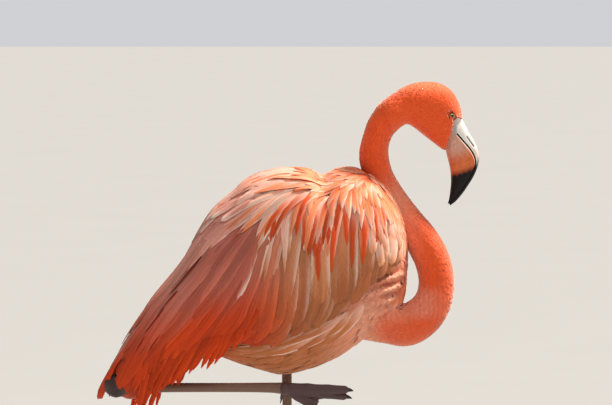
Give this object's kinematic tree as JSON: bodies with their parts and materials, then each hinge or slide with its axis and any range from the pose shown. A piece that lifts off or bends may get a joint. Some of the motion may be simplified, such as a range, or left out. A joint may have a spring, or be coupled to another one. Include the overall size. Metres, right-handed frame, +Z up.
{
  "type": "flamingo, adult Caribbean, life-size still model",
  "caption": "Adult flamingo standing on one leg with the other folded back, neck in an S and head hanging, bent bill pointing down.",
  "frame": {"origin": "on the floor, at the middle of the pad of the left foot, which carries the bird", "axes": "+X is the bird's heading, +Y its left side, +Z up"},
  "size_m": [0.5739, 0.1936, 0.8987],
  "materials": {
    "neck_feathers": "short velvety coral-red feathers of the head and neck",
    "body_feathers": "soft salmon-orange body feathers with paler edges",
    "wing_feathers": "layered wing coverts, salmon with whitish edges",
    "plume_feathers": "long deep rose-red tertials, plumes and tail feathers",
    "bill_pale": "smooth horn, white to pink and orange, black at the tip",
    "bill_dark": "polished blackish horn",
    "eye": "wet straw-yellow iris with a black pupil",
    "leg_scales": "brown-grey scutes with darker joints",
    "foot_skin": "dark purple-grey scaled skin and webs",
    "claw": "dull black horn"
  },
  "bodies": {
    "root": {"trunk": "body_feathers", "neck_1": "neck_feathers", "neck_2": "neck_feathers", "neck_3": "neck_feathers", "neck_4": "neck_feathers", "neck_5": "neck_feathers", "head": "neck_feathers", "upper_bill": "bill_dark", "lower_bill": "bill_pale", "eye_left": "eye", "wing_left": "wing_feathers", "tertials_left": "plume_feathers", "plumes_left": "plume_feathers", "shank_left": "leg_scales", "tarsus_left": "leg_scales", "foot_left": "foot_skin", "claw_left_1": "claw", "claw_left_2": "claw", "claw_left_3": "claw", "claw_left_4": "claw", "eye_right": "eye", "wing_right": "wing_feathers", "tertials_right": "plume_feathers", "plumes_right": "plume_feathers", "shank_right": "leg_scales", "tarsus_right": "leg_scales", "foot_right": "foot_skin", "claw_right_1": "claw", "claw_right_2": "claw", "claw_right_3": "claw", "claw_right_4": "claw", "tail": "plume_feathers"}
  },
  "joints": []
}
